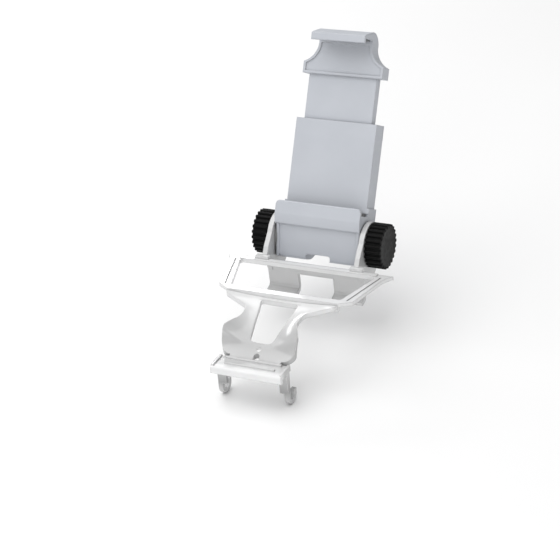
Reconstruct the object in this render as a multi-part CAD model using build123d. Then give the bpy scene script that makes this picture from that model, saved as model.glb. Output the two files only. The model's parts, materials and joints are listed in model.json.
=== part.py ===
from build123d import *
import math
import os

# Phone clip for a game controller, in millimetres.
# A clear moulded bracket snaps round the controller, and a spring-loaded phone cradle tilts between
# its two ears, clamped by a hand knob on each side.
# X is to the right, Y to the back and Z up, square to the bracket's ring. The origin is on the centre
# plane, at the ring's seat, in the middle of the ring's opening.

# Ring round the touch area, a trapezoid that is wider at the back
ring_thick = 1.6
opening_front_y = -11.0
opening_back_y = 11.0
opening_front_half = 24.3
opening_back_half = 30.7
opening_corner = 1.4
side_bar_front = 5.4
side_bar_back = 4.1
front_bar_depth = 3.4
front_corner_half = 24.5
wing_start_y = 7.0
wing_half = 37.2
rear_flat_depth = 2.4
rear_bar_rise = 0.4
side_groove_wide = 0.5
side_groove_deep = 0.4

# Rear apron that rolls down behind the controller and hooks under its back edge
sheet = 1.8
roll_middle = (17.8, -0.9)
roll_end = (20.0, -5.0)
apron_foot = (20.6, -12.4)
toe_reach = 3.4
toe_drop = 2.2
cable_gap_half = 8.0
cable_gap_top = -6.2

# Saddle between the thumb sticks, a trough whose sides stand high and then turn down steeply.
# Each station is Y, the height of the middle, the trough's radius across and half its blank's width.
saddle_stations = (
    (-13.5, -0.1, 400.0, 26.0),
    (-18.0, -1.4, 120.0, 24.5),
    (-23.0, -3.5, 42.0, 18.0),
    (-28.0, -5.4, 27.0, 17.2),
    (-33.0, -7.3, 26.0, 17.2),
    (-35.8, -8.5, 28.5, 17.2),
    (-37.0, -9.4, 32.0, 17.2),
    (-38.2, -10.4, 52.0, 17.2),
    (-39.5, -11.3, 85.0, 17.2),
    (-41.2, -12.5, 90.0, 17.2),
    (-44.0, -14.4, 90.0, 17.2),
)
saddle_web_drop = 2.2
window_rim_high = 0.5

# Saddle outline, right half, as (X, Y)
flare_tip = (23.8, -16.8)
neck_top = (12.7, -20.6)
neck_side = (12.1, -27.2)
shoulder = (16.3, -35.2)
saddle_corner = (15.8, -41.5)
flare_radius = 1.5
neck_top_radius = 3.6
neck_radius = 8.0
shoulder_radius = 2.6
saddle_corner_radius = 4.4
link_half = 11.1

# Window and small holes in the saddle
window_top_y = -16.2
window_foot_y = -35.9
window_top_half = 8.2
window_foot_half = 4.9
window_top_corner = 1.0
window_foot_corner = 2.0
mic_slot_wide = 2.5
mic_slot_top_y = -39.4
mic_slot_foot_y = -43.0
dimple_radius = 0.9
dimple_y = -37.9

# Ledge under the saddle, and the two hooks that reach under the controller's front edge
ledge_top = -12.9
ledge_gap = 0.8
ledge_deep = 9.2
ledge_half = 15.3
ledge_lip = 3.5
ledge_round = 1.0
bead_radius = 0.8
bead_half = 12.0
rib_radius = 0.6
rib_half = 10.8
rib_y = -47.2
end_rib_wide = 1.1
end_rib_high = 0.6
leg_wide = 3.6
leg_foot = -23.5
leg_root_back_y = -43.4
hook_wide = 1.9
hook_centre = (-42.3, -25.6)
hook_radius = 3.75
hook_tip_rise = 1.2

# Tilt axis and the ears that carry it
axis_y = 29.2
axis_z = 6.4
ear_gap = 0.4
ear_thick = 2.2
ear_radius = 9.6
ear_front = ((13.6, 0.6), (14.3, 3.3), (16.1, 6.2), (21.2, 11.4))
ear_rear = ((32.0, -6.5), (29.5, -8.0), (20.2, -11.4), (17.2, -3.0))
foot_inner_over = 1.2
foot_outer_over = 2.4
foot_deep = 2.3
foot_high = 1.1
lean = 26.7

# Clamp hardware along the tilt axis
bolt_radius = 2.0
bolt_clearance = 0.08
bolt_reach = 8.2
bolt_head_flats = 7.0
bolt_head_thick = 2.8
washer_radius = 4.2
washer_thick = 0.8
insert_radius = 2.9
insert_length = 8.2
insert_groove = 0.35
ring_outer_radius = 7.0
ring_inner_radius = 3.2
ring_height = 1.1
ring_gap = 0.1

# Hand knobs
knob_radius = 9.5
knob_wide = 6.95
knob_ear_gap = 0.35
knob_ridges = 24
knob_groove = 0.9
knob_ridge_tip = 0.95
knob_ridge_root = 1.6
knob_ridge_sunk = 0.4
knob_edge = 0.45

# Cradle, drawn upright about the tilt axis: V is to the back and W is up
back_plane = -1.3
phone_thick = 7.7
shelf_w = 12.35
jaw_gap = 70.9
housing_step = 1.0
housing_back = 7.2
housing_round = 9.6
panel_foot_v = -4.6
panel_top = (-8.3, 4.1)
lip_overhang = 0.8
nose_v = -10.3
nose_w = 8.4
lip_above_shelf = 1.7
lip_corner = 2.0
glass_gap = 0.05
side_wall = 2.55
sleeve_front_wall = 1.2
cover_thick = 1.6
shoulder_w = 14.6
foot_corner = 1.2
panel_rim = 1.6
panel_recess = 1.0
panel_soft = 0.9
panel_corner = 1.6
notch_half = 5.45
notch_top = -7.2
notch_corner = 1.0

# Slider: tongue, bell-shaped head and upper jaw
tongue_half = 15.3
tongue_clearance = 0.35
tongue_front_gap = 0.2
tongue_thick = 4.0
tongue_foot_gap = 1.0
cavity_floor = 8.0
head_long = 14.3
head_straight = 4.9
head_half = 18.0
head_back = 5.6
head_sleeve_gap = 0.4
bell_waist_half = 12.0
bell_waist_below_jaw = 0.55
bell_sag = 1.94
head_rim = 1.1
head_recess = 0.5
crest_rise = 3.15
crest_v = -2.6
upper_lip_thick = 1.3
upper_lip_drop = 1.5
upper_arm_thick = 1.4
stop_half = 3.0
stop_high = 1.2
stop_long = 2.0
slide_up = 12.0
slide_down = 18.5
slide_gap = 0.3

# Guide rails and springs
rail_inner = 11.4
rail_wide = 2.0
spring_x = 7.5
spring_v = 3.3
spring_radius = 1.6
spring_wire = 0.35
spring_coils = 10
spring_sides = 10
spring_below_floor = 2.0
spring_below_top = 5.5
spring_groove = 1.9
loop_radius = 1.1
pin_radius = 0.6
pin_half = 3.0
pin_clearance = 0.03

# Pads and cover screws
pad_thick = 1.2
pad_side_gap = 1.4
pad_relief = 0.3
upper_pad_thick = 0.6
screw_radius = 0.7
screw_head_radius = 1.25
screw_head_high = 0.8
screw_length = 6.0
screw_clearance = 0.05
upper_screw_below_top = 4.5
lower_screw_in = 6.2
lower_screw_below_floor = 2.4

# Worked-out places, from the middle outwards
cavity_half = tongue_half + tongue_clearance
sleeve_half = cavity_half + side_wall
housing_half = sleeve_half + housing_step
panel_half = housing_half - panel_rim
ear_inner = housing_half + ear_gap
ear_outer = ear_inner + ear_thick
friction_outer_x = ear_inner - ring_gap
friction_inner_x = friction_outer_x - ring_height
insert_inner_x = friction_inner_x - insert_length - slide_gap
bolt_inner_x = housing_half - bolt_reach
washer_outer_x = ear_outer + washer_thick
knob_inner_x = ear_outer + knob_ear_gap
knob_outer_x = knob_inner_x + knob_wide
bolt_head_x = (washer_outer_x + knob_outer_x) / 2

# Worked-out places of the bracket, from the back to the front
rear_flat_y = opening_back_y + rear_flat_depth
rear_top = ring_thick + rear_bar_rise
front_bar_y = opening_front_y - front_bar_depth
ledge_back_y = saddle_corner[1] - ledge_gap
ledge_front_y = ledge_back_y - ledge_deep

# Worked-out places of the cradle, from the front to the back and from the foot up
glass_plane = back_plane - phone_thick
cavity_front = back_plane + sleeve_front_wall
tongue_front = cavity_front + tongue_front_gap
tongue_back = tongue_front + tongue_thick
rail_face = tongue_back + tongue_front_gap
cover_face = housing_back - cover_thick
phone_top = shelf_w + jaw_gap
upper_arm_under = phone_top + upper_pad_thick
crest_w = upper_arm_under + crest_rise
bell_waist_w = phone_top - bell_waist_below_jaw
head_foot = bell_waist_w - head_long
bell_start = head_foot + head_straight
sleeve_top = head_foot - slide_down - head_sleeve_gap
tongue_foot = cavity_floor + slide_down + tongue_foot_gap
spring_foot = cavity_floor - spring_below_floor
spring_head = sleeve_top - spring_below_top
upper_screw = (sleeve_half - side_wall / 2, sleeve_top - upper_screw_below_top)
lower_screw = (housing_half - lower_screw_in, cavity_floor - lower_screw_below_floor)


def slab(profile, x0, x1):
    """Solid with a side profile drawn as (Y, Z), from x0 to x1."""
    return Pos(x0, 0, 0) * extrude(Plane.YZ * profile, amount=x1 - x0)


def block(x0, x1, y0, y1, z0, z1):
    """Box between two opposite corners."""
    centre = Pos((x0 + x1) / 2, (y0 + y1) / 2, (z0 + z1) / 2)
    return centre * Box(abs(x1 - x0), abs(y1 - y0), abs(z1 - z0))


def rod(radius, x0, x1):
    """Cylinder along X, on the X axis."""
    return Pos((x0 + x1) / 2, 0, 0) * Rot(0, 90, 0) * Cylinder(radius, abs(x1 - x0))


def both_sides(shape):
    """A right-hand solid together with its mirror image."""
    return shape + mirror(shape, about=Plane.YZ)


def to_left(shape):
    return mirror(shape, about=Plane.YZ)


def on_axis(shape):
    """Move a piece drawn on the X axis to the tilt axis."""
    return Pos(0, axis_y, axis_z) * shape


def leaned(shape):
    """Move an upright piece of the cradle to the tilt axis and lean it back."""
    return on_axis(Rot(-lean, 0, 0) * shape)


def mirrored_face(right_half):
    """Face made of a right-hand face and its mirror image."""
    return right_half + mirror(right_half, about=Plane.YZ)


def side_bar_outer():
    """Outer points of the right side bar, at the front and where the wing starts."""
    slope = (opening_back_half - opening_front_half) / (opening_back_y - opening_front_y)
    front = (opening_front_half + side_bar_front, opening_front_y)
    inner_at_wing = opening_front_half + slope * (wing_start_y - opening_front_y)
    return front, (inner_at_wing + side_bar_back, wing_start_y)


def opening_face():
    outline = Polyline(
        (-opening_front_half, opening_front_y),
        (opening_front_half, opening_front_y),
        (opening_back_half, opening_back_y),
        (-opening_back_half, opening_back_y),
        close=True,
    )
    face = make_face(outline)
    return fillet(face.vertices(), opening_corner)


def ring_plate():
    front, wing = side_bar_outer()
    along = (wing[0] - front[0], wing[1] - front[1])
    tip = (wing_half, rear_flat_y)
    edges = [
        Polyline((0, rear_flat_y), (0, front_bar_y), (front_corner_half, front_bar_y), front, wing),
        TangentArc(wing, tip, tangent=along),
        Line(tip, (0, rear_flat_y)),
    ]
    outline = mirrored_face(make_face(edges)) - opening_face()
    return extrude(outline, amount=ring_thick)


def side_grooves():
    """Shallow line along the middle of each side bar."""
    front, wing = side_bar_outer()
    inner = (opening_front_half, opening_front_y)
    middle = ((front[0] + inner[0]) / 2, front[1])
    reach = opening_back_y - opening_front_y
    run = (opening_back_half + side_bar_back / 2 - middle[0], reach)
    angle = math.degrees(math.atan2(run[1], run[0]))
    groove = Box(math.hypot(*run), side_groove_wide, 2 * side_groove_deep)
    centre = Pos(middle[0] + run[0] / 2, middle[1] + run[1] / 2, ring_thick)
    return both_sides(centre * Rot(0, 0, angle) * groove)


def roll_path():
    """Outer surface of the rear bar and apron as (Y, Z)."""
    start = (opening_back_y, rear_top)
    flat_end = (rear_flat_y, rear_top)
    toe_bend = (apron_foot[0] - toe_drop / 2, apron_foot[1] - toe_drop)
    toe_tip = (toe_bend[0] - toe_reach, toe_bend[1] - toe_drop / 2)
    return [
        Line(start, flat_end),
        ThreePointArc(flat_end, roll_middle, roll_end),
        Line(roll_end, apron_foot),
        Line(apron_foot, toe_bend),
        Line(toe_bend, toe_tip),
    ]


def rear_apron():
    outer = Wire(roll_path())
    profile = make_face(outer.offset_2d(-sheet, side=Side.RIGHT, closed=True).edges())
    apron = slab(profile, -ear_outer, ear_outer)
    rear_far = apron_foot[0] + sheet
    deep = apron_foot[1] - 4 * toe_drop
    gap = block(-cable_gap_half, cable_gap_half, opening_back_y, rear_far, deep, cable_gap_top)
    return apron - gap


def rear_bar():
    """Raised flat of the rear bar, out to the wings."""
    span = opening_back_half
    return block(-span, span, opening_back_y, rear_flat_y, 0, rear_top)


def saddle_height(y):
    """Height of the saddle's middle at Y, between two stations."""
    for (y0, z0, _, _), (y1, z1, _, _) in zip(saddle_stations, saddle_stations[1:]):
        if y0 >= y >= y1:
            return z0 + (z1 - z0) * (y - y0) / (y1 - y0)


def side_height(station, half):
    """Height of the trough's surface at a distance from the middle."""
    _, middle, radius, _ = station
    return middle + radius - math.sqrt(radius ** 2 - half ** 2)


def upright_thickness(index, half):
    """Thickness measured along Z that leaves the sheet's own thickness square to its surface."""
    before = saddle_stations[max(index - 1, 0)]
    after = saddle_stations[min(index + 1, len(saddle_stations) - 1)]
    fall = side_height(before, half) - side_height(after, half)
    return sheet * math.hypot(fall, before[0] - after[0]) / (before[0] - after[0])


def saddle_section(index):
    """Cross-section of the saddle sheet at one station."""
    y, middle, _, half = saddle_stations[index]
    side = side_height(saddle_stations[index], half)
    side_under = side - upright_thickness(index, half)
    middle_under = middle - upright_thickness(index, 0)
    edges = [
        ThreePointArc((-half, side), (0, middle), (half, side)),
        Line((half, side), (half, side_under)),
        ThreePointArc((half, side_under), (0, middle_under), (-half, side_under)),
        Line((-half, side_under), (-half, side)),
    ]
    station = Plane(origin=(0, y, 0), x_dir=(1, 0, 0), z_dir=(0, -1, 0))
    return station * make_face(edges)


def saddle_outline():
    start_y = front_bar_y + sheet / 2
    inner = ledge_back_y - sheet / 2
    curve = FilletPolyline(
        (front_corner_half, start_y),
        flare_tip,
        neck_top,
        neck_side,
        shoulder,
        saddle_corner,
        (link_half, saddle_corner[1]),
        radius=[
            flare_radius,
            neck_top_radius,
            neck_radius,
            shoulder_radius,
            saddle_corner_radius,
        ],
    )
    closing = Polyline(
        (link_half, saddle_corner[1]),
        (link_half, inner),
        (0, inner),
        (0, start_y),
        (front_corner_half, start_y),
    )
    return mirrored_face(make_face([curve, closing]))


def window_face():
    outline = Polyline(
        (-window_top_half, window_top_y),
        (window_top_half, window_top_y),
        (window_foot_half, window_foot_y),
        (-window_foot_half, window_foot_y),
        close=True,
    )
    face = make_face(outline)
    top = [v for v in face.vertices() if v.Y > window_top_y - 1]
    face = fillet(top, window_top_corner)
    foot = [v for v in face.vertices() if v.Y < window_foot_y + 0.01 and abs(v.X) > 1]
    return fillet(foot, window_foot_corner)


def saddle_sheet():
    blank = loft([saddle_section(i) for i in range(len(saddle_stations))])
    deep = 3 * ledge_top
    outline = Pos(0, 0, deep) * extrude(saddle_outline(), amount=-deep + ring_thick)
    window = Pos(0, 0, deep) * extrude(window_face(), amount=-deep + ring_thick)
    slot_long = mic_slot_top_y - mic_slot_foot_y
    slot_face = SlotOverall(2 * slot_long, mic_slot_wide)
    slot_place = Pos(0, mic_slot_top_y - slot_long, deep) * Rot(0, 0, 90)
    slot = slot_place * extrude(slot_face, amount=-deep)
    dimple = Pos(0, dimple_y, saddle_height(dimple_y)) * Cylinder(dimple_radius, dimple_radius)
    rim_half = window_top_half + window_top_corner
    rim = block(
        -rim_half, rim_half,
        window_top_y, front_bar_y + sheet / 2,
        saddle_height(window_top_y) - sheet / 2, saddle_height(window_top_y) + window_rim_high,
    )
    return (blank & outline) + rim - window - slot - dimple


def front_web():
    """Step wall that joins the front bar to the lower saddle sheet."""
    return block(
        -front_corner_half, front_corner_half,
        front_bar_y, front_bar_y + sheet,
        -saddle_web_drop, ring_thick,
    )


def ledge_profile():
    foot = ledge_top - ledge_lip
    front = FilletPolyline(
        (ledge_back_y, ledge_top),
        (ledge_front_y, ledge_top),
        (ledge_front_y, foot),
        (ledge_front_y + sheet, foot),
        radius=[ledge_round, ledge_round],
    )
    rest = Polyline(
        (ledge_front_y + sheet, foot),
        (ledge_front_y + sheet, ledge_top - sheet),
        (ledge_back_y, ledge_top - sheet),
        (ledge_back_y, ledge_top),
    )
    return make_face([front, rest])


def ledge():
    shelf = slab(ledge_profile(), -ledge_half, ledge_half)
    bead = Pos(0, ledge_back_y - bead_radius, ledge_top) * rod(bead_radius, -bead_half, bead_half)
    rib = Pos(0, rib_y, ledge_top) * rod(rib_radius, -rib_half, rib_half)
    end_rib = block(
        ledge_half - end_rib_wide, ledge_half,
        ledge_front_y + ledge_round, ledge_back_y,
        ledge_top - sheet / 2, ledge_top + end_rib_high,
    )
    return shelf + bead + rib + both_sides(end_rib)


def hook():
    """Right-hand leg, a plate that narrows to a strip with a J-shaped end."""
    cy, cz = hook_centre
    inner_radius = hook_radius - sheet
    root = ledge_top - sheet / 2
    leg = make_face(Polyline(
        (cy - hook_radius, root),
        (leg_root_back_y, root),
        (cy - inner_radius, cz),
        (cy - hook_radius, cz),
        close=True,
    ))
    upper = Pos(cy, (root + leg_foot) / 2) * Rectangle(4 * hook_radius, root - leg_foot)
    plate = slab(leg & upper, ledge_half - leg_wide, ledge_half)
    bend = Pos(cy, cz) * (Circle(hook_radius) - Circle(inner_radius))
    lower = Pos(cy, cz - hook_radius) * Rectangle(4 * hook_radius, 2 * hook_radius)
    tip_middle = Pos(cy + hook_radius - sheet / 2, cz + hook_tip_rise / 2)
    tip = tip_middle * Rectangle(sheet, hook_tip_rise)
    strip = slab(leg + (bend & lower) + tip, ledge_half - hook_wide, ledge_half)
    return plate + strip


def ear():
    """Right-hand ear with its foot block, drawn in place."""
    plate = make_face(Polyline(*ear_front, (axis_y, axis_z + ear_radius), (axis_y + ear_radius, axis_z),
                               *ear_rear, close=True))
    boss = Pos(axis_y, axis_z) * Circle(ear_radius)
    side = slab(plate + boss, ear_inner, ear_outer)
    foot_y = ear_front[0][0] - foot_deep / 2
    foot = block(
        ear_inner - foot_inner_over, ear_outer + foot_outer_over,
        foot_y, foot_y + foot_deep,
        ring_thick / 2, rear_top + foot_high,
    )
    bore = on_axis(rod(bolt_radius + bolt_clearance, ear_inner - 1, ear_outer + 1))
    return side + foot - bore


def bracket():
    ring = ring_plate() + rear_bar() + rear_apron() - side_grooves()
    saddle = front_web() + saddle_sheet() + ledge() + both_sides(hook())
    return ring + saddle + both_sides(ear())


def housing_profile():
    """Side profile of the whole cradle housing as (V, W), cover included."""
    lip_front = (nose_v, shelf_w + lip_above_shelf / 2)
    lip_top = (glass_plane - glass_gap - upper_lip_thick / 2, shelf_w + lip_above_shelf)
    lip_back = (glass_plane - glass_gap, shelf_w + lip_above_shelf / 2)
    under = (panel_top[0] - lip_overhang, panel_top[1] + lip_overhang / 2)
    shelf = shelf_w - pad_thick
    arc_top = -math.sqrt(housing_round ** 2 - housing_back ** 2)
    arc_middle = (
        housing_round * math.cos(math.radians(-65)),
        housing_round * math.sin(math.radians(-65)),
    )
    edges = [
        Polyline((0, -housing_round), (panel_foot_v, -housing_round), panel_top, under),
        ThreePointArc(under, (nose_v + 0.25, nose_w - 1.2), (nose_v, nose_w)),
        Line((nose_v, nose_w), lip_front),
        ThreePointArc(lip_front, lip_top, lip_back),
        Polyline(
            lip_back,
            (lip_back[0], shelf),
            (back_plane + pad_relief, shelf),
            (back_plane + pad_relief, shelf_w),
            (back_plane, shelf_w),
            (back_plane, sleeve_top),
            (housing_back, sleeve_top),
            (housing_back, arc_top),
        ),
        ThreePointArc((housing_back, arc_top), arc_middle, (0, -housing_round)),
    ]
    return make_face(edges)


def lip_corners():
    """What is taken off the lip's two ends, seen from the front."""
    back = glass_plane - glass_gap + pad_relief
    top = shelf_w + lip_above_shelf
    corner = block(
        housing_half - lip_corner, housing_half + 1,
        nose_v - 1, back, top - lip_corner, top + 1,
    )
    bar = Rot(90, 0, 0) * Cylinder(lip_corner, 4 * housing_half)
    return both_sides(corner - Pos(housing_half - lip_corner, 0, top - lip_corner) * bar)


def housing_blank():
    wide = slab(housing_profile(), -housing_half, housing_half)
    ends = wide.faces().filter_by(Axis.X).edges()
    foot = [e for e in ends if e.center().Z < panel_top[1] - 1 and e.center().Y < housing_back - 0.1]
    wide = fillet(foot, foot_corner)
    far = 2 * housing_half
    trim = block(sleeve_half, far, -far, far, shoulder_w, sleeve_top + 1)
    return wide - both_sides(trim) - lip_corners()


def panel_cut():
    """Recess of the front panel, its sides rounded into its floor and its lower corners cut round."""
    foot = (panel_foot_v, -housing_round)
    rise = math.hypot(panel_top[0] - foot[0], panel_top[1] - foot[1])
    tilt = math.degrees(math.atan2(foot[0] - panel_top[0], panel_top[1] - foot[1]))
    cut = Box(2 * panel_half, 2 * panel_recess, rise)
    sides = [e for e in cut.edges().filter_by(Axis.Z) if e.center().Y > 0]
    cut = Pos(0, 0, rise / 2) * fillet(sides, panel_soft)
    inner = panel_half - panel_corner
    corner_w = foot[1] + panel_corner
    corner = block(inner, panel_half, -2 * housing_round, 0, foot[1] - 1, corner_w)
    corner = corner - Pos(inner, 0, corner_w) * Rot(90, 0, 0) * Cylinder(panel_corner, 6 * housing_round)
    return Pos(0, foot[0], foot[1]) * Rot(tilt, 0, 0) * cut + both_sides(corner)


def notch_cut():
    far = 2 * housing_round
    high = notch_top + housing_round
    face = Pos(0, -housing_round + high / 2) * Rectangle(2 * notch_half, high)
    face = fillet([v for v in face.vertices() if v.Y > notch_top - 1], notch_corner)
    plane = Plane(origin=(0, -far, 0), x_dir=(1, 0, 0), z_dir=(0, -1, 0))
    return extrude(plane * face, amount=-2 * far)


def spring_wells():
    """Pockets below the cavity floor where the springs are hooked."""
    foot = spring_foot - loop_radius - spring_groove
    well = block(
        spring_x - spring_groove, spring_x + spring_groove,
        cavity_front, cover_face, foot, cavity_floor,
    )
    pin = Pos(spring_x, spring_v, spring_foot) * rod(pin_radius + pin_clearance, -pin_half, pin_half)
    return both_sides(well + pin)


def screw_places():
    """Centres of the four cover screws as (X, W)."""
    places = []
    for x, w in (upper_screw, lower_screw):
        places += [(x, w), (-x, w)]
    return places


def screw(clearance):
    """Countersunk screw pointing to the front, its head flush with the cover's back."""
    radius = screw_radius + clearance
    head_radius = screw_head_radius + clearance
    length = screw_length + clearance
    shank = Cylinder(radius, length, align=(Align.CENTER, Align.CENTER, Align.MAX))
    head = Cone(radius, head_radius, screw_head_high, align=(Align.CENTER, Align.CENTER, Align.MAX))
    return Rot(-90, 0, 0) * (shank + head)


def all_screws(clearance):
    return [Pos(x, housing_back, w) * screw(clearance) for x, w in screw_places()]


def insert_holes():
    nut = rod(insert_radius + bolt_clearance, insert_inner_x - 1, friction_inner_x)
    recess = rod(ring_outer_radius + bolt_clearance, friction_inner_x, housing_half + 1)
    return both_sides(nut + recess)


def cradle_body():
    far = 2 * sleeve_top
    front_half = block(-far, far, -far, cover_face, -far, far)
    cavity = block(-cavity_half, cavity_half, cavity_front, cover_face, cavity_floor, far)
    body = housing_blank() & front_half
    body = body - cavity - spring_wells() - panel_cut() - notch_cut() - insert_holes()
    for hole in all_screws(screw_clearance):
        body = body - hole
    return body


def rear_cover():
    far = 2 * sleeve_top
    back_half = block(-far, far, cover_face, far, -far, far)
    cover = (housing_blank() & back_half) - notch_cut()
    rail_foot = cavity_floor + slide_gap
    rail = block(rail_inner, rail_inner + rail_wide, rail_face, cover_face, rail_foot, sleeve_top)
    stop_w = tongue_foot + stop_long + slide_up + slide_gap
    stop = block(-stop_half, stop_half, rail_face, cover_face, stop_w, stop_w + stop_long)
    cover = cover + both_sides(rail) + stop - insert_holes()
    for hole in all_screws(screw_clearance):
        cover = cover - hole
    return cover


def head_face(inset):
    """Front outline of the head, right and left, as (X, W)."""
    waist = (bell_waist_half - inset, bell_waist_w)
    start = (head_half - inset, bell_start - inset / 2)
    half = make_face([
        Polyline(waist, (0, bell_waist_w), (0, head_foot + inset), (head_half - inset, head_foot + inset), start),
        SagittaArc(start, waist, bell_sag),
    ])
    return mirrored_face(half)


def upper_jaw_profile():
    """Side profile of the upper jaw as (V, W)."""
    lip_back = glass_plane - glass_gap
    lip_front = lip_back - upper_lip_thick
    lip_foot = phone_top - upper_lip_drop
    front_top = upper_arm_under + upper_arm_thick
    edges = [
        Polyline(
            (crest_v, crest_w),
            (lip_front + upper_lip_thick, front_top),
            (lip_front, front_top - upper_lip_thick / 2),
            (lip_front, lip_foot),
            (lip_back, lip_foot),
            (lip_back, upper_arm_under),
            (back_plane, upper_arm_under),
            (back_plane, bell_waist_w - 1),
            (head_back, bell_waist_w - 1),
            (head_back, bell_waist_w),
        ),
        ThreePointArc(
            (head_back, bell_waist_w),
            ((head_back + crest_v) / 2 + 2.0, crest_w - 1.2),
            (crest_v, crest_w),
        ),
    ]
    return make_face(edges)


def slider():
    face_plane = Plane(origin=(0, head_back, 0), x_dir=(1, 0, 0), z_dir=(0, -1, 0))
    head = extrude(face_plane * head_face(0), amount=head_back - back_plane)
    front_plane = Plane(origin=(0, back_plane, 0), x_dir=(1, 0, 0), z_dir=(0, -1, 0))
    recess = extrude(front_plane * head_face(head_rim), amount=-head_recess)
    jaw = slab(upper_jaw_profile(), -bell_waist_half, bell_waist_half)
    tongue = block(-tongue_half, tongue_half, tongue_front, tongue_back, tongue_foot, head_foot + 1)
    stop = block(-stop_half, stop_half, tongue_back, tongue_back + stop_high, tongue_foot, tongue_foot + stop_long)
    groove_top = spring_head + loop_radius + spring_groove
    groove = Pos(spring_x, spring_v, (tongue_foot + groove_top) / 2) * Cylinder(
        spring_groove, groove_top - tongue_foot)
    pin_hole = Pos(spring_x, spring_v, spring_head) * rod(pin_radius + pin_clearance, -pin_half, pin_half)
    return head - recess + jaw + tongue + stop - both_sides(groove + pin_hole)


def spring():
    """Right-hand spring: close turns between two end loops that stand on the pins."""
    low = spring_foot + loop_radius
    high = spring_head - loop_radius
    half_turn = (high - low) / (2 * spring_coils)
    slope = math.degrees(math.atan2(spring_wire, half_turn))
    below = extrude(RegularPolygon(spring_radius, spring_sides), amount=-half_turn, taper=slope)
    turn = below + extrude(RegularPolygon(spring_radius, spring_sides), amount=half_turn, taper=slope)
    coil = Part() + [Pos(0, 0, low + (2 * i + 1) * half_turn) * turn for i in range(spring_coils)]
    loop = rod(loop_radius + spring_wire, -spring_wire, spring_wire)
    loop = loop - rod(loop_radius - spring_wire, -2 * spring_wire, 2 * spring_wire)
    turns = coil + Pos(0, 0, spring_foot) * loop + Pos(0, 0, spring_head) * loop
    return Pos(spring_x, spring_v, 0) * turns


def spring_pins(w):
    pin = Pos(spring_x, spring_v, w) * rod(pin_radius, -pin_half, pin_half)
    return Compound([pin, to_left(pin)])


def lower_jaw_pad():
    half = housing_half - pad_side_gap
    return block(-half, half, glass_plane, back_plane, shelf_w - pad_thick, shelf_w)


def upper_jaw_pad():
    half = bell_waist_half - pad_side_gap
    return block(-half, half, glass_plane, back_plane, phone_top, upper_arm_under)


def clamp_bolt():
    shank = rod(bolt_radius, bolt_inner_x, bolt_head_x)
    hexagon = RegularPolygon(bolt_head_flats / 2, 6, major_radius=False)
    head = Pos(bolt_head_x, 0, 0) * extrude(Plane.YZ * hexagon, amount=bolt_head_thick)
    return shank + head


def knob_ridge():
    """Grip ridge along the knob's top, narrower and shorter at its tip."""
    middle_x = (knob_inner_x + knob_outer_x) / 2
    root = knob_radius - knob_groove - knob_ridge_sunk
    foot = Pos(middle_x, 0, root) * Rectangle(knob_wide, knob_ridge_root)
    tip = Pos(middle_x, 0, knob_radius) * Rectangle(knob_wide - 2 * knob_edge, knob_ridge_tip)
    return loft([foot, tip], ruled=True)


def knob():
    grip = rod(knob_radius - knob_groove, knob_inner_x, knob_outer_x)
    ridge = knob_ridge()
    grip = grip + [Rot(360 * i / knob_ridges, 0, 0) * ridge for i in range(knob_ridges)]
    counterbore = rod(washer_radius + bolt_clearance, knob_inner_x - 1, washer_outer_x)
    return grip - counterbore - clamp_bolt()


def washer():
    return rod(washer_radius, ear_outer, washer_outer_x) - rod(bolt_radius + bolt_clearance, ear_inner, knob_outer_x)


def insert_nut():
    end = insert_inner_x + insert_length
    nut = rod(insert_radius, insert_inner_x, end)
    waist = (insert_inner_x + end) / 2
    band = rod(insert_radius + 1, waist - insert_groove, waist + insert_groove)
    band = band - rod(insert_radius - insert_groove, insert_inner_x, end)
    bore = rod(bolt_radius + bolt_clearance, insert_inner_x - 1, end + 1)
    return nut - band - bore


def friction_ring():
    ring = rod(ring_outer_radius, friction_inner_x, friction_outer_x)
    return ring - rod(ring_inner_radius, friction_inner_x - 1, friction_outer_x + 1)


def pieces():
    """Every node of the clip, by name."""
    nodes = {
        "bracket": bracket(),
        "cradle_body": leaned(cradle_body()),
        "rear_cover": leaned(rear_cover()),
        "slider": leaned(slider()),
        "lower_jaw_pad": leaned(lower_jaw_pad()),
        "upper_jaw_pad": leaned(upper_jaw_pad()),
        "lower_spring_pins": leaned(spring_pins(spring_foot)),
        "upper_spring_pins": leaned(spring_pins(spring_head)),
        "cover_screws": leaned(Compound(all_screws(0))),
    }
    paired = {
        "spring": leaned(spring()),
        "knob": on_axis(knob()),
        "clamp_bolt": on_axis(clamp_bolt()),
        "washer": on_axis(washer()),
        "insert_nut": on_axis(insert_nut()),
        "friction_ring": on_axis(friction_ring()),
    }
    for name, shape in paired.items():
        nodes[name + "_right"] = shape
        nodes[name + "_left"] = to_left(shape)
    return nodes


os.makedirs("parts", exist_ok=True)
for node, shape in pieces().items():
    export_step(shape, "parts/" + node + ".step")
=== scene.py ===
"""Looks of the controller phone clip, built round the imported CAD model. Lengths are in metres."""

import json
import math

import bmesh
import bpy
from mathutils import Matrix, Vector


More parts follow.
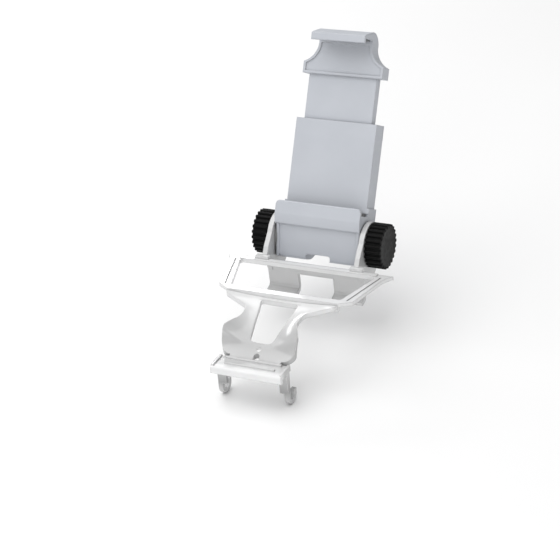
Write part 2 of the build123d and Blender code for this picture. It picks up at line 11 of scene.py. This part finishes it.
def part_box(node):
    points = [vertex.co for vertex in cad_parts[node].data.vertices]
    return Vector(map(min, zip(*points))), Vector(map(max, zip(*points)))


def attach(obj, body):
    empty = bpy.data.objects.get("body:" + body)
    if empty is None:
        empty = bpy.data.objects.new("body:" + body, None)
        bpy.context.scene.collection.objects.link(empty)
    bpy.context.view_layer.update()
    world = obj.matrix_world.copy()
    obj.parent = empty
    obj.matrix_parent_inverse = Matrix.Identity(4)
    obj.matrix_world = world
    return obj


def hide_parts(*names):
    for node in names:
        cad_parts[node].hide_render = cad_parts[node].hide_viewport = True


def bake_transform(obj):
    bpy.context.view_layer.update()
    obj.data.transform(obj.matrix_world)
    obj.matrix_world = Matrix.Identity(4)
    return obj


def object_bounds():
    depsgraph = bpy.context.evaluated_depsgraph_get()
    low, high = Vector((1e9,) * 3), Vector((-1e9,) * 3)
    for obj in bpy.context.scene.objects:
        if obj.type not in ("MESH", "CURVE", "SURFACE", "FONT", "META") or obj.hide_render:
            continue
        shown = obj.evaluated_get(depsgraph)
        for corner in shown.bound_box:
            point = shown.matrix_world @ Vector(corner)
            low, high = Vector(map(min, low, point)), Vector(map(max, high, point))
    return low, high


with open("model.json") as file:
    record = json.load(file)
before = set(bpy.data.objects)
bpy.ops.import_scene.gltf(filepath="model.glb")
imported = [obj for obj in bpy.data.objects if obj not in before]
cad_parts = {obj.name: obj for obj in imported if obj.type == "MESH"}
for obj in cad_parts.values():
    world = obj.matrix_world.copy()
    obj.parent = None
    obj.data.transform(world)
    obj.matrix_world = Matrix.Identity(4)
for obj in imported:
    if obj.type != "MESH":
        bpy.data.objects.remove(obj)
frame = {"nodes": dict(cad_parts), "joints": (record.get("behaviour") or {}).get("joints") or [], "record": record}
cad_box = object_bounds()
nodes = frame["nodes"]
joints = {joint["name"]: joint for joint in frame["joints"]}

ACROSS = Vector((1.0, 0.0, 0.0))

# Name, place, size in metres and power in watts
LIGHTS = (
    ("key", (-0.35, -0.15, 1.1), (1.6, 1.4), 12.8),
    ("front", (0.35, -1.1, 0.3), (0.7, 0.5), 3.6),
    ("back", (-0.7, 0.7, 0.5), (0.7, 0.15), 1.6),
)
LIGHTS_AIM = (0.0, 0.0, 0.02)
WORLD_STRENGTH = 0.5

FLOOR_HALF = 3.0
FLOOR_GAP = 0.0002


# Camera, solved from the phone, the knobs and the mirrored features in the photograph
def add_camera():
    data = bpy.data.cameras.new("camera")
    data.sensor_fit = "HORIZONTAL"
    data.sensor_width = 36.0
    data.lens = 108.411
    data.clip_start = 0.05
    data.clip_end = 20.0
    right = Vector((0.906028, 0.415919, -0.07826))
    up = Vector((-0.129608, 0.448713, 0.884227))
    back = Vector((0.402883, -0.790992, 0.460453))
    place = Matrix((right, up, back)).transposed().to_4x4()
    place.translation = (0.271197, -0.546943, 0.318751)
    camera = bpy.data.objects.new("camera", data)
    camera.matrix_world = place
    bpy.context.scene.collection.objects.link(camera)
    bpy.context.scene.camera = camera


# Soft studio light
def add_area(name, place, size, power):
    data = bpy.data.lights.new(name, "AREA")
    data.shape = "RECTANGLE"
    data.size, data.size_y = size
    data.energy = power
    light = bpy.data.objects.new(name, data)
    light.location = place
    way = Vector(LIGHTS_AIM) - Vector(place)
    light.rotation_euler = way.to_track_quat("-Z", "Y").to_euler()
    bpy.context.scene.collection.objects.link(light)


def add_lights():
    for light in LIGHTS:
        add_area(*light)
    world = bpy.data.worlds.new("studio")
    world.use_nodes = True
    shade = world.node_tree.nodes["Background"]
    shade.inputs["Color"].default_value = (1.0, 1.0, 1.0, 1.0)
    shade.inputs["Strength"].default_value = WORLD_STRENGTH
    bpy.context.scene.world = world


# Share of agreement between the true and the rounded normal where an edge starts and where it is full
EDGE_STARTS = 0.99
EDGE_FULL = 0.82


class Shader:
    """A principled material with a little node graph in front of it."""

    def __init__(self, name):
        self.material = bpy.data.materials.new(name)
        self.material.use_nodes = True
        self.tree = self.material.node_tree
        self.principled = self.tree.nodes["Principled BSDF"]
        self.coordinates = self.node("ShaderNodeTexCoord").outputs["Object"]

    def node(self, kind, **values):
        made = self.tree.nodes.new(kind)
        for key, value in values.items():
            setattr(made, key, value)
        return made

    def link(self, out, into):
        self.tree.links.new(out, into)

    def set(self, **values):
        for key, value in values.items():
            self.principled.inputs[key.replace("_", " ")].default_value = value

    def noise(self, scale, detail=2.0, roughness=0.5):
        made = self.node("ShaderNodeTexNoise")
        made.inputs["Scale"].default_value = scale
        made.inputs["Detail"].default_value = detail
        made.inputs["Roughness"].default_value = roughness
        self.link(self.coordinates, made.inputs["Vector"])
        return made.outputs["Fac"]

    def span(self, value, low, high):
        """The value's place between low and high, as 0 to 1."""
        made = self.node("ShaderNodeMapRange")
        made.inputs["From Min"].default_value = low
        made.inputs["From Max"].default_value = high
        self.link(value, made.inputs["Value"])
        return made.outputs["Result"]

    def along(self, axis, low, high):
        """Place along an axis of the object, as 0 to 1."""
        split = self.node("ShaderNodeSeparateXYZ")
        self.link(self.coordinates, split.inputs["Vector"])
        return self.span(split.outputs[axis], low, high)

    def near(self, place, radius):
        """Mask that is 1 within a radius of a place, with a short soft edge."""
        away = self.node("ShaderNodeVectorMath", operation="DISTANCE")
        self.link(self.coordinates, away.inputs[0])
        away.inputs[1].default_value = place
        return self.span(away.outputs["Value"], radius * 1.15, radius)

    def multiply(self, first, second):
        mix = self.node("ShaderNodeMix", data_type="RGBA", blend_type="MULTIPLY")
        mix.inputs["Factor"].default_value = 1.0
        self.link(first, mix.inputs["A"])
        self.link(second, mix.inputs["B"])
        return mix.outputs["Result"]

    def edges(self, radius):
        """Mask that is 1 along edges."""
        bevel = self.node("ShaderNodeBevel", samples=4)
        bevel.inputs["Radius"].default_value = radius
        dot = self.node("ShaderNodeVectorMath", operation="DOT_PRODUCT")
        self.link(bevel.outputs["Normal"], dot.inputs[0])
        self.link(self.node("ShaderNodeNewGeometry").outputs["Normal"], dot.inputs[1])
        return self.span(dot.outputs["Value"], EDGE_STARTS, EDGE_FULL)

    def crevices(self, distance):
        """Openness of the surface, low in corners and slots, for painting shade there."""
        shade = self.node("ShaderNodeAmbientOcclusion", samples=8)
        shade.inputs["Distance"].default_value = distance
        return shade.outputs["AO"]

    def blend(self, factor, first, second):
        mix = self.node("ShaderNodeMix", data_type="RGBA")
        self.link(factor, mix.inputs["Factor"])
        self.link(first, mix.inputs["A"])
        self.link(second, mix.inputs["B"])
        return mix.outputs["Result"]

    def ramp(self, value, stops):
        made = self.node("ShaderNodeValToRGB")
        elements = made.color_ramp.elements
        while len(elements) < len(stops):
            elements.new(0.5)
        for element, (place, colour) in zip(elements, stops):
            element.position = place
            element.color = colour
        self.link(value, made.inputs["Fac"])
        return made.outputs["Color"]

    def greys(self, value, stops):
        return self.ramp(value, [(place, grey(shade)) for place, shade in stops])

    def finish(self, socket, value):
        self.link(value, self.principled.inputs[socket])

    def rounded(self, radius, height=None, strength=0.1, distance=0.0001):
        """Softened edges, with a fine bump on top."""
        bevel = self.node("ShaderNodeBevel", samples=4)
        bevel.inputs["Radius"].default_value = radius
        out = bevel.outputs["Normal"]
        if height is not None:
            bump = self.node("ShaderNodeBump")
            bump.inputs["Strength"].default_value = strength
            bump.inputs["Distance"].default_value = distance
            self.link(height, bump.inputs["Height"])
            self.link(out, bump.inputs["Normal"])
            out = bump.outputs["Normal"]
        self.link(out, self.principled.inputs["Normal"])


def grey(value, blue=0.0):
    """Grey with some blue added, and a third as much green."""
    return (value, value + blue / 3, value + blue, 1.0)


# The milky bracket carries painted light: painted shade over the saddle and the legs, a painted highlight on the
# ledge's front face, and a whitish painted glint on the dimple above the mic slot
# Whitish painted glint on the dimple above the mic slot
DIMPLE_GLINT = (0.0, -0.0379, -0.0102)
DIMPLE_GLINT_RADIUS = 0.0009
# Painted shade and highlight along Y: a painted highlight on the ledge's front face, painted shade over the ledge,
# the saddle and the ears, and the ring left light
PAINTED_LIGHT_Y_SPAN = (-0.050, 0.030)
PAINTED_LIGHT_Y_STOPS = (
    (0.0, 0.95), (0.03, 0.66), (0.09, 0.64), (0.15, 0.57), (0.21, 0.58),
    (0.30, 0.76), (0.39, 0.92), (0.79, 0.87), (0.83, 0.72),
)
# Painted shade in a band across the lower legs and the hooks
PAINTED_SHADE_Z_SPAN = (-0.030, -0.016)
PAINTED_SHADE_Z_STOPS = ((0.0, 1.0), (0.3, 0.95), (0.5, 0.6), (1.0, 1.0))
# Painted edge lines along Y: a painted highlight on the saddle's edges, painted shade on the ring's edges
EDGE_LINE_Y_SPAN = (-0.022, -0.013)
PAINTED_EDGE_Y_STOPS = ((0.0, 0.9), (1.0, 0.5))


def clear_plastic():
    s = Shader("clear_plastic")
    cloud = s.ramp(s.noise(60.0, 3.0), [(0.3, grey(0.90, 0.005)), (0.7, grey(0.95, 0.005))])
    # Painted shade and highlight along Y
    painted_light_y = s.greys(s.along("Y", *PAINTED_LIGHT_Y_SPAN), PAINTED_LIGHT_Y_STOPS)
    # Painted shade on the lower legs and the hooks
    drop = s.greys(s.along("Z", *PAINTED_SHADE_Z_SPAN), PAINTED_SHADE_Z_STOPS)
    # Painted shade in corners and slots
    corners = s.greys(s.crevices(0.0025), ((0.25, 0.5), (0.7, 1.0)))
    colour = s.multiply(s.multiply(cloud, painted_light_y), s.multiply(drop, corners))
    # Painted edge lines: lighter on the saddle, darker on the ring
    painted_edge = s.greys(s.along("Y", *EDGE_LINE_Y_SPAN), PAINTED_EDGE_Y_STOPS)
    # Whitish painted glint on the dimple above the mic slot, laid over all other colour
    glint = s.near(DIMPLE_GLINT, DIMPLE_GLINT_RADIUS)
    glint_white = s.greys(cloud, ((0.0, 0.92), (1.0, 0.96)))
    s.finish("Base Color", s.blend(glint, s.blend(s.edges(0.0004), colour, painted_edge), glint_white))
    s.finish("Roughness", s.greys(s.noise(400.0), ((0.3, 0.15), (0.7, 0.2))))
    s.set(IOR=1.5, Transmission_Weight=0.2, Coat_Weight=0.5, Coat_Roughness=0.12)
    s.rounded(0.0005, s.noise(900.0, 2.0), 0.08, 0.00005)
    return s.material


def cradle_plastic():
    s = Shader("cradle_plastic")
    cloud = s.noise(40.0, 3.0)
    body = s.ramp(cloud, [(0.3, grey(0.445, 0.058)), (0.7, grey(0.48, 0.058))])
    # Painted shade in corners and recesses
    corners = s.greys(s.crevices(0.0025), ((0.2, 0.62), (0.8, 1.0)))
    # Painted highlight along the edges
    painted_edge = s.ramp(cloud, [(0.3, grey(0.58, 0.05)), (0.7, grey(0.62, 0.05))])
    s.finish("Base Color", s.blend(s.edges(0.0003), s.multiply(body, corners), painted_edge))
    s.finish("Roughness", s.greys(s.noise(500.0), ((0.3, 0.42), (0.7, 0.54))))
    s.set(IOR=1.5)
    s.rounded(0.0006, s.noise(2600.0, 3.0, 0.7), 0.25, 0.00004)
    return s.material


def knob_plastic():
    s = Shader("knob_plastic")
    cloud = s.noise(120.0, 3.0)
    body = s.greys(cloud, ((0.3, 0.002), (0.7, 0.004)))
    # Painted highlight along the edges
    painted_edge = s.greys(cloud, ((0.3, 0.014), (0.7, 0.022)))
    # Painted shade in the grooves between the ridges
    groove_shade = s.greys(s.crevices(0.001), ((0.35, 0.12), (0.85, 1.0)))
    s.finish("Base Color", s.blend(s.edges(0.0003), s.multiply(body, groove_shade), painted_edge))
    s.finish("Roughness", s.greys(s.noise(700.0), ((0.3, 0.42), (0.7, 0.55))))
    s.set(IOR=1.5, Specular_IOR_Level=0.1)
    s.rounded(0.0004, s.noise(2600.0, 3.0, 0.7), 0.25, 0.00004)
    return s.material


def pad_rubber():
    s = Shader("pad_rubber")
    s.finish("Base Color", s.greys(s.noise(150.0, 4.0), ((0.3, 0.17), (0.7, 0.21))))
    s.set(Roughness=0.75)
    s.rounded(0.0002, s.noise(3000.0, 3.0, 0.7), 0.4, 0.00006)
    return s.material


def metal(name, colour, roughness):
    s = Shader(name)
    darker = tuple(c * 0.88 for c in colour)
    s.finish("Base Color", s.ramp(s.noise(300.0, 3.0), [(0.3, colour + (1.0,)), (0.7, darker + (1.0,))]))
    s.finish("Roughness", s.greys(s.noise(1200.0), ((0.3, roughness), (0.7, roughness + 0.12))))
    s.set(Metallic=1.0)
    s.rounded(0.0002)
    return s.material


def floor_paint():
    s = Shader("floor_paint")
    s.finish("Base Color", s.greys(s.noise(3.0, 3.0), ((0.3, 0.86), (0.7, 0.88))))
    s.set(Roughness=0.7)
    return s.material


def dress():
    slots = {part["node"]: part["material_slot"] for part in frame["record"]["subparts"]}
    looks = {
        "clear_plastic": clear_plastic(),
        "cradle_plastic": cradle_plastic(),
        "knob_plastic": knob_plastic(),
        "pad_rubber": pad_rubber(),
        "steel": metal("steel", (0.62, 0.62, 0.64), 0.25),
        "spring_steel": metal("spring_steel", (0.5, 0.5, 0.52), 0.3),
        "brass": metal("brass", (0.75, 0.58, 0.28), 0.25),
    }
    for name, node in nodes.items():
        node.data.materials.clear()
        node.data.materials.append(looks[slots[name]])


# Pieces of their own mesh
def skin(name, rings, sharp_angle=None):
    """Closed smooth mesh through rings of points, with a cap on each end."""
    mesh = bmesh.new()
    loops = [[mesh.verts.new(point) for point in ring] for ring in rings]
    for first, second in zip(loops, loops[1:]):
        for i in range(len(first)):
            j = (i + 1) % len(first)
            mesh.faces.new((first[i], first[j], second[j], second[i]))
    mesh.faces.new(loops[0])
    mesh.faces.new(loops[-1])
    bmesh.ops.recalc_face_normals(mesh, faces=mesh.faces)
    data = bpy.data.meshes.new(name)
    mesh.to_mesh(data)
    mesh.free()
    data.polygons.foreach_set("use_smooth", [True] * len(data.polygons))
    if sharp_angle is not None:
        data.set_sharp_from_angle(angle=sharp_angle)
    return data


def add_piece(data, node):
    """Object of the mesh, in the material of the node that it stands in for."""
    data.materials.append(nodes[node].data.materials[0])
    piece = bpy.data.objects.new(data.name, data)
    bpy.context.scene.collection.objects.link(piece)
    return piece


SHARP_ANGLE = math.radians(50)

# Hand knobs, with rounded grip ridges in place of the solids' straight ones
KNOB_RADIUS = 0.0095
KNOB_GROOVE = 0.0009
KNOB_RIDGES = 24
KNOB_SOFT = 0.00022
KNOB_DISH = 0.00012
KNOB_DISH_RADII = (0.0074, 0.003)
KNOB_BORE = 0.002
POCKET_CLEARANCE = 0.00008
RIDGE_STEPS = 14
RIDGE_CREST = 0.34
RIDGE_FLANK = 0.34
RIDGE_CURVE = 1.5


def ridge_height(turn):
    """Height of the grip at a share of one ridge's pitch, from 0 in the groove to 1 on the ridge."""
    off = abs(turn - 0.5) * 2
    return 1.0 - min(max((off - RIDGE_CREST) / RIDGE_FLANK, 0.0), 1.0) ** RIDGE_CURVE


def knob_rings(inner_x, outer_x, pocket, pocket_x):
    """Rings of the knob's skin from the bolt's bore round to the middle of the outer face.

    Each is its X, whether it has ridges, and its radius, or on ridges what it is off the full radius.
    """
    length = outer_x - inner_x
    foot = KNOB_RADIUS - KNOB_GROOVE - 2 * KNOB_SOFT
    rings = [
        (inner_x + length * 0.5, False, KNOB_BORE),
        (pocket_x, False, KNOB_BORE),
        (pocket_x, False, pocket),
        (inner_x, False, pocket),
        (inner_x, False, foot),
    ]
    corner = []
    for step in range(4):
        angle = math.radians(30 * step)
        corner.append((KNOB_SOFT * (1 - math.sin(angle)), -KNOB_SOFT * (1 - math.cos(math.pi / 2 - angle))))
    rings += [(inner_x + inset, True, off) for inset, off in corner]
    rings += [(inner_x + length * share, True, 0.0) for share in (0.25, 0.5, 0.75)]
    rings += [(outer_x - inset, True, off) for inset, off in corner[::-1]]
    rings.append((outer_x, False, foot))
    rings += [(outer_x - KNOB_DISH, False, radius) for radius in KNOB_DISH_RADII]
    return rings


def add_knob(name):
    axis_x, axis_y, axis_z = joints[name + "_turn"]["pos_m"]
    side = math.copysign(1.0, axis_x)
    low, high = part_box(name)
    washer_low, washer_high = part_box(name.replace("knob", "washer"))
    inner_x, outer_x = sorted((abs(low[0]), abs(high[0])))
    pocket_x = max(abs(washer_low[0]), abs(washer_high[0]))
    pocket = (washer_high[2] - washer_low[2]) / 2 + POCKET_CLEARANCE
    count = KNOB_RIDGES * RIDGE_STEPS
    rings = []
    for x, ridged, value in knob_rings(inner_x, outer_x, pocket, pocket_x):
        ring = []
        for i in range(count):
            angle = 2 * math.pi * i / count
            radius = value
            if ridged:
                radius = KNOB_RADIUS + value - KNOB_GROOVE * (1 - ridge_height(i / RIDGE_STEPS % 1.0))
            ring.append((side * x, axis_y + radius * math.cos(angle), axis_z + radius * math.sin(angle)))
        rings.append(ring)
    grip = add_piece(skin(name + "_grip", rings, SHARP_ANGLE), name)
    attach(grip, name)
    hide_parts(name)


# Wound tension springs between the two pairs of pins, built at one length; the real springs stretch as the jaw
# slides
LOOP_RADIUS = 0.0011
COIL_RADIUS = 0.00125
WIRE_RADIUS = 0.00033
WIRE_SIDES = 8
COIL_TURNS = 13
TURN_STEPS = 16
LOWER_LOOP = range(50, 350, 20)
UPPER_LOOP = range(200, 500, 20)


def spring_path(foot, head):
    """Wire from the loop on the lower pin, up the coil, to the loop on the upper pin."""
    up = (head - foot).normalized()
    back = up.cross(ACROSS)
    coil_long = (head - foot).length - 2 * LOOP_RADIUS

    def end_loop(middle, degrees):
        angle = math.radians(degrees)
        return middle + LOOP_RADIUS * (math.cos(angle) * up + math.sin(angle) * back)

    points = [end_loop(foot, degrees) for degrees in LOWER_LOOP]
    steps = COIL_TURNS * TURN_STEPS
    for i in range(steps + 1):
        radius = COIL_RADIUS * min(1.0, i / TURN_STEPS, (steps - i) / TURN_STEPS)
        angle = 2 * math.pi * i / TURN_STEPS
        middle = foot + up * (LOOP_RADIUS + coil_long * i / steps)
        points.append(middle + radius * (math.cos(angle) * ACROSS + math.sin(angle) * back))
    return points + [end_loop(head, degrees) for degrees in UPPER_LOOP]


def wire_rings(points):
    """Rings of a round wire along the points, turned as little as they allow from one to the next."""
    side = ACROSS
    rings = []
    turns = [2 * math.pi * k / WIRE_SIDES for k in range(WIRE_SIDES)]
    for i, point in enumerate(points):
        way = (points[min(i + 1, len(points) - 1)] - points[max(i - 1, 0)]).normalized()
        side = (side - way * side.dot(way)).normalized()
        other = way.cross(side)
        rings.append([point + WIRE_RADIUS * (math.cos(t) * side + math.sin(t) * other) for t in turns])
    return rings


def add_spring(node):
    low, high = (Vector(corner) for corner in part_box(node))
    x = (low.x + high.x) / 2
    ends = []
    for pins in ("lower_spring_pins", "upper_spring_pins"):
        pin_low, pin_high = (Vector(corner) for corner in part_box(pins))
        middle = (pin_low + pin_high) / 2
        ends.append(Vector((x, middle.y, middle.z)))
    foot, head = ends
    coil = add_piece(skin(node + "_coil", wire_rings(spring_path(foot, head))), node)
    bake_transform(coil)
    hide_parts(node)


# Jaw pads with grip ribs from front to back, in place of the solids' plain pads
RIB_PITCH = 0.0014
RIB_HEIGHT = 0.00022
RIB_STEPS = 8
PAD_SOFT = 0.00012
PAD_SHARES = (0.0, 0.3, 1.0)


def pad_profile(half, low, high):
    """Outline of the pad across its width, with rounded ribs along the side at high."""
    count = 2 * round(half / RIB_PITCH)
    steps = count * RIB_STEPS
    points = [(-half, low), (-half, high)]
    for i in range(1, steps):
        drop = RIB_HEIGHT * max(0.0, math.cos(2 * math.pi * (i / RIB_STEPS - 0.5))) ** 2
        points.append((-half + 2 * half * i / steps, high - math.copysign(drop, high - low)))
    return points + [(half, high), (half, low)]


def add_pad(name, body, grip_side):
    """Pad of a jaw, with its ribs up for a grip side of 1 and down for -1."""
    up = Vector(joints["jaw_slide"]["axis"])
    back = up.cross(ACROSS)
    corners = [nodes[name].matrix_world @ vertex.co for vertex in nodes[name].data.vertices]
    half = max(corner.dot(ACROSS) for corner in corners)
    depths = [corner.dot(back) for corner in corners]
    heights = sorted(corner.dot(up) for corner in corners)
    low, high = (heights[0], heights[-1])[::grip_side]
    middle = (low + high) / 2
    thick = abs(high - low)
    profile = pad_profile(half, low, high)
    stations = [(share, min(depths) + PAD_SOFT * share) for share in PAD_SHARES]
    stations += [(share, max(depths) - PAD_SOFT * share) for share in PAD_SHARES[::-1]]
    rings = []
    for share, depth in stations:
        inset = PAD_SOFT * (1 - share) ** 2
        points = [(x * (1 - inset / half), middle + (w - middle) * (1 - 2 * inset / thick)) for x, w in profile]
        rings.append([ACROSS * x + back * depth + up * w for x, w in points])
    pad = add_piece(skin(name + "_grip", rings, SHARP_ANGLE), name)
    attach(pad, body)
    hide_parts(name)


def add_floor():
    low = cad_box[0][2] - FLOOR_GAP
    mesh = bpy.data.meshes.new("floor")
    corners = [(x * FLOOR_HALF, y * FLOOR_HALF, low) for x, y in ((-1, -1), (1, -1), (1, 1), (-1, 1))]
    mesh.from_pydata(corners, [], [(0, 1, 2, 3)])
    mesh.materials.append(floor_paint())
    floor = bpy.data.objects.new("floor", mesh)
    bpy.context.scene.collection.objects.link(floor)


add_camera()
add_lights()
dress()
add_pad("lower_jaw_pad", "cradle", 1)
add_pad("upper_jaw_pad", "slider", -1)
add_knob("knob_left")
add_knob("knob_right")
add_spring("spring_left")
add_spring("spring_right")
add_floor()

bpy.context.scene.view_settings.view_transform = "Standard"
